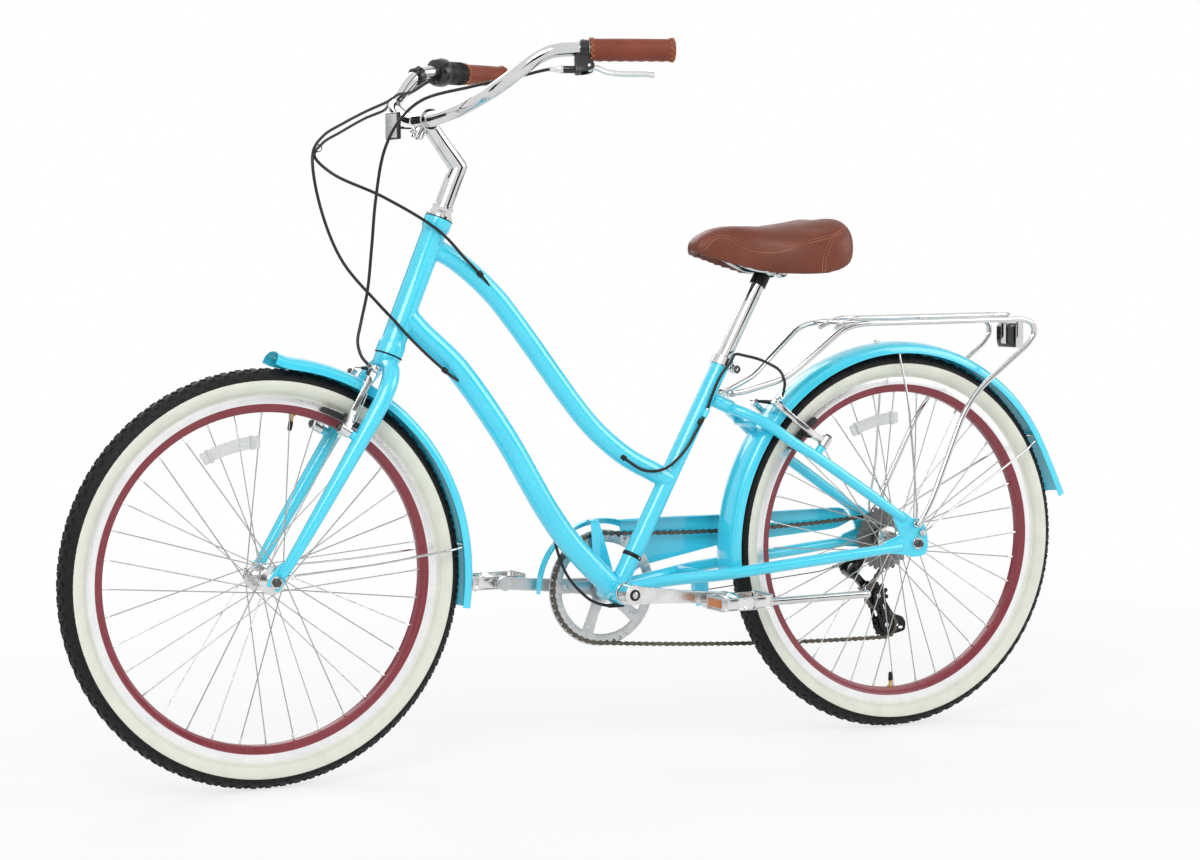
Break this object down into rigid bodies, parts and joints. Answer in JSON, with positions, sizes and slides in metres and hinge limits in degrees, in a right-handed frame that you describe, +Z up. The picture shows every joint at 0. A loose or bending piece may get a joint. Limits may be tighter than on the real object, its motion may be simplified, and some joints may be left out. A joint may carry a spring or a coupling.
{
  "type": "step-through hybrid bicycle",
  "caption": "Step-through bicycle with curved twin frame tubes, swept handlebar, fenders, wire rear rack, chain guard, rear derailleur, rim brakes and kickstand.",
  "frame": {"origin": "on the ground under the middle of the whole length, on the bicycle's mid-plane", "axes": "+X forward, +Y to the rider's left, +Z up; front wheel straight ahead"},
  "size_m": [1.8559, 0.6558, 1.1695],
  "materials": {
    "sky_paint": "gloss",
    "burgundy_paint": "satin",
    "chrome": "polished",
    "silver": "satin",
    "steel": "oiled",
    "black_plastic": "matte",
    "tread": "matte",
    "brown_leather": "stitched",
    "lens": "prismatic",
    "red_lens": "prismatic"
  },
  "bodies": {
    "frame": {"head_tube": "sky_paint", "seat_tube": "sky_paint", "top_tube": "sky_paint", "down_tube": "sky_paint", "chainstays": "sky_paint", "seatstays": "sky_paint", "seat_clamp": "chrome", "rear_fender": "sky_paint", "rear_fender_stay_upper": "chrome", "rear_fender_stay_rear": "chrome", "chain_guard": "sky_paint", "rear_rack": "chrome", "rear_reflector": "red_lens", "rear_axle": "steel", "derailleur_body": "black_plastic", "rear_brake_cable": "black_plastic", "shift_cable": "black_plastic", "chain": "steel"},
    "steering": {"fork": "sky_paint", "headset_nut": "chrome", "stem": "chrome", "handlebar": "chrome", "grip_left": "brown_leather", "grip_right": "brown_leather", "brake_bracket_left": "black_plastic", "brake_bracket_right": "black_plastic", "shifter_housing": "black_plastic", "front_fender": "sky_paint", "front_fender_stay": "chrome", "front_reflector": "lens", "front_axle": "steel", "front_brake_cable": "black_plastic"},
    "front_wheel": {"front_hub": "silver", "front_rim": "burgundy_paint", "front_tyre": "tread"},
    "rear_wheel": {"rear_hub": "silver", "rear_rim": "burgundy_paint", "rear_tyre": "tread"},
    "freewheel": {"freewheel": "steel"},
    "crankset": {"chainring": "silver", "crank_left": "silver", "crank_right": "silver"},
    "pedal_left": {"pedal_left": "black_plastic"},
    "pedal_right": {"pedal_right": "black_plastic"},
    "brake_lever_left": {"brake_lever_left": "black_plastic"},
    "brake_lever_right": {"brake_lever_right": "black_plastic"},
    "shifter_twist": {"shifter_twist": "black_plastic"},
    "front_brake_arm_left": {"front_brake_arm_left": "black_plastic"},
    "front_brake_arm_right": {"front_brake_arm_right": "black_plastic"},
    "rear_brake_arm_left": {"rear_brake_arm_left": "black_plastic"},
    "rear_brake_arm_right": {"rear_brake_arm_right": "black_plastic"},
    "derailleur_link": {"derailleur_link": "black_plastic"},
    "derailleur_knuckle": {"derailleur_knuckle": "black_plastic"},
    "derailleur_cage": {"derailleur_cage": "black_plastic"},
    "jockey_upper": {"jockey_upper": "black_plastic"},
    "jockey_lower": {"jockey_lower": "black_plastic"},
    "seat": {"seat_post": "chrome", "saddle_frame": "black_plastic", "saddle_top": "brown_leather"},
    "kickstand": {"kickstand_leg": "silver"}
  },
  "joints": [
    {"name": "steer", "type": "hinge", "parent": "frame", "child": "steering", "pos_m": [0.53782, 0, 0.30513], "axis": [-0.3827, 0, 0.9239], "range_deg": [-60, 60], "deforming": ["rear_brake_cable", "shift_cable"]},
    {"name": "front_wheel_spin", "type": "hinge", "parent": "steering", "child": "front_wheel", "pos_m": [0.59788, 0, 0.33], "axis": [0, 1, 0], "continuous": true},
    {"name": "rear_wheel_spin", "type": "hinge", "parent": "frame", "child": "rear_wheel", "pos_m": [-0.57412, 0, 0.33], "axis": [0, 1, 0], "continuous": true},
    {"name": "crank_spin", "type": "hinge", "parent": "frame", "child": "crankset", "pos_m": [-0.02012, 0, 0.273], "axis": [0, 1, 0], "continuous": true, "deforming": ["chain"]},
    {"name": "freewheel_spin", "type": "hinge", "parent": "frame", "child": "freewheel", "pos_m": [-0.57412, 0, 0.33], "axis": [0, 1, 0], "continuous": true},
    {"name": "pedal_left_spin", "type": "hinge", "parent": "crankset", "child": "pedal_left", "pos_m": [-0.18948, 0.12, 0.25818], "axis": [0, 1, 0], "continuous": true},
    {"name": "pedal_right_spin", "type": "hinge", "parent": "crankset", "child": "pedal_right", "pos_m": [0.14923, -0.12, 0.28782], "axis": [0, 1, 0], "continuous": true},
    {"name": "brake_lever_left_pull", "type": "hinge", "parent": "steering", "child": "brake_lever_left", "pos_m": [0.16521, 0.27946, 1.11729], "axis": [0.3044, 0.8395, 0.45], "range_deg": [0, 11], "stiffness_Nm_per_rad": 2, "springref_deg": -5.73},
    {"name": "brake_lever_right_pull", "type": "hinge", "parent": "steering", "child": "brake_lever_right", "pos_m": [0.2205, -0.27242, 1.12202], "axis": [-0.5398, 0.4708, -0.6978], "range_deg": [0, 11], "stiffness_Nm_per_rad": 2, "springref_deg": -5.73},
    {"name": "front_brake_arm_left_swing", "type": "hinge", "parent": "steering", "child": "front_brake_arm_left", "pos_m": [0.48388, 0.06, 0.562], "axis": [0.8442, 0, 0.5361], "range_deg": [0, 3.3]},
    {"name": "front_brake_arm_right_swing", "type": "hinge", "parent": "steering", "child": "front_brake_arm_right", "pos_m": [0.48388, -0.06, 0.562], "axis": [-0.8442, 0, -0.5361], "range_deg": [0, 3.3]},
    {"name": "rear_brake_arm_left_swing", "type": "hinge", "parent": "frame", "child": "rear_brake_arm_left", "pos_m": [-0.39212, 0.062, 0.512], "axis": [0.6253, 0, -0.7804], "range_deg": [0, 3.3]},
    {"name": "rear_brake_arm_right_swing", "type": "hinge", "parent": "frame", "child": "rear_brake_arm_right", "pos_m": [-0.39212, -0.062, 0.512], "axis": [-0.6253, 0, 0.7804], "range_deg": [0, 3.3]},
    {"name": "shifter_twist_turn", "type": "hinge", "parent": "steering", "child": "shifter_twist", "pos_m": [0.14589, -0.27163, 1.14498], "axis": [-0.9401, -0.3409, 0], "range_deg": [-50, 50]},
    {"name": "derailleur_link_swing", "type": "hinge", "parent": "frame", "child": "derailleur_link", "pos_m": [-0.52712, -0.063, 0.268], "axis": [0.7203, 0, -0.6936], "range_deg": [-23.6, 23.6]},
    {"name": "derailleur_knuckle_swing", "type": "hinge", "parent": "derailleur_link", "child": "derailleur_knuckle", "pos_m": [-0.55312, -0.063, 0.241], "axis": [0.7203, 0, -0.6936], "range_deg": [-23.6, 23.6]},
    {"name": "derailleur_cage_swing", "type": "hinge", "parent": "derailleur_knuckle", "child": "derailleur_cage", "pos_m": [-0.56812, -0.047, 0.226], "axis": [0, -1, 0], "range_deg": [0, 40], "stiffness_Nm_per_rad": 0.5, "springref_deg": -34.38},
    {"name": "jockey_upper_spin", "type": "hinge", "parent": "derailleur_cage", "child": "jockey_upper", "pos_m": [-0.56812, -0.047, 0.226], "axis": [0, 1, 0], "continuous": true},
    {"name": "jockey_lower_spin", "type": "hinge", "parent": "derailleur_cage", "child": "jockey_lower", "pos_m": [-0.58536, -0.047, 0.17272], "axis": [0, 1, 0], "continuous": true},
    {"name": "seat_height", "type": "slide", "parent": "frame", "child": "seat", "axis": [-0.4772, 0, 0.8788], "range_m": [-0.08, 0.03]},
    {"name": "kickstand_swing", "type": "hinge", "parent": "frame", "child": "kickstand", "pos_m": [-0.17912, 0.016, 0.246], "axis": [0.1936, -0.9474, -0.2547], "range_deg": [0, 100.8]}
  ],
  "couplings": [
    {"joint": "front_brake_arm_left_swing", "follows": "brake_lever_left_pull", "ratio": 0.3},
    {"joint": "front_brake_arm_right_swing", "follows": "brake_lever_left_pull", "ratio": 0.3},
    {"joint": "rear_brake_arm_left_swing", "follows": "brake_lever_right_pull", "ratio": 0.3},
    {"joint": "rear_brake_arm_right_swing", "follows": "brake_lever_right_pull", "ratio": 0.3},
    {"joint": "derailleur_link_swing", "follows": "shifter_twist_turn", "ratio": 0.472},
    {"joint": "derailleur_knuckle_swing", "follows": "shifter_twist_turn", "ratio": -0.472},
    {"joint": "freewheel_spin", "follows": "crank_spin", "ratio": 2.3},
    {"joint": "jockey_upper_spin", "follows": "crank_spin", "ratio": -4.1818},
    {"joint": "jockey_lower_spin", "follows": "crank_spin", "ratio": 4.1818}
  ]
}
